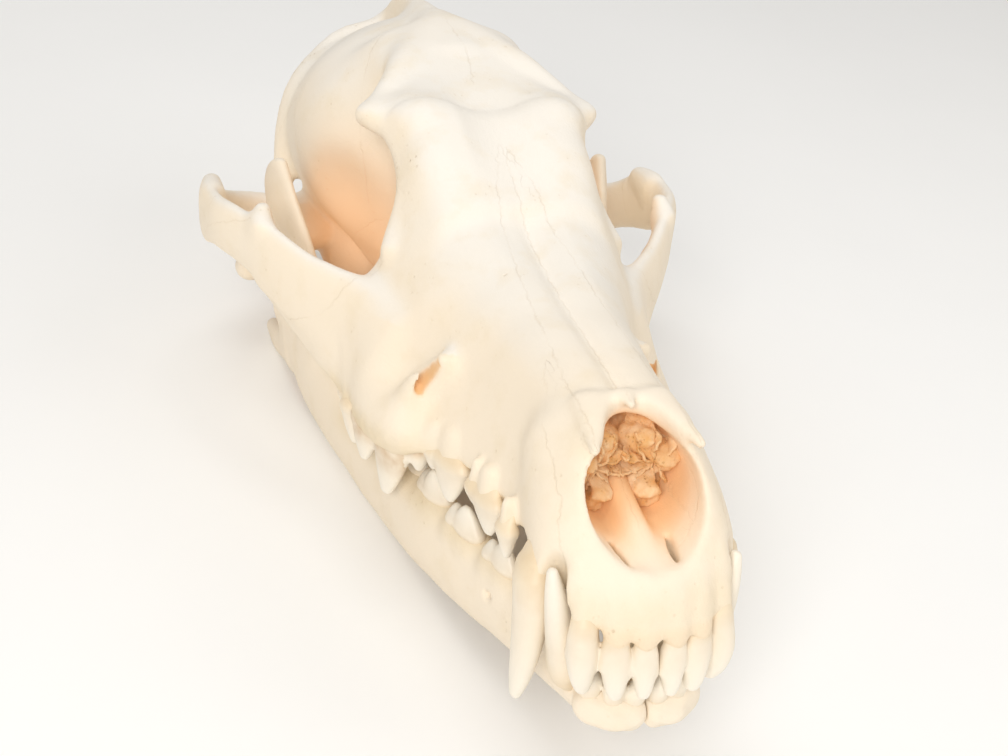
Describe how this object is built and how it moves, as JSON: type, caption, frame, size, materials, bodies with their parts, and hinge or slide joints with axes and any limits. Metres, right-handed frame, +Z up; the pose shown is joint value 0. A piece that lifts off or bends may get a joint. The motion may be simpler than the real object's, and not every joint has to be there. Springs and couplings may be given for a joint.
{
  "type": "coyote skull",
  "caption": "Bleached coyote skull with closed jaws, standing as it rests on a shelf: long muzzle, open nose, wide cheek arches, crested braincase and full tooth rows.",
  "frame": {"origin": "on the floor, below the middle of the skull's bounding box", "axes": "+Z up, -Y towards the snout, +X towards the animal's left"},
  "size_m": [0.1058, 0.2056, 0.0782],
  "materials": {
    "cranium_bone": "bleached ivory bone, satin, with glossy enamel on the teeth",
    "left_jaw_bone": "bleached ivory bone, satin, with glossy enamel on the teeth",
    "right_jaw_bone": "bleached ivory bone, satin, with glossy enamel on the teeth"
  },
  "bodies": {
    "root": {"cranium": "cranium_bone", "mandible_left": "left_jaw_bone", "mandible_right": "right_jaw_bone"}
  },
  "joints": []
}
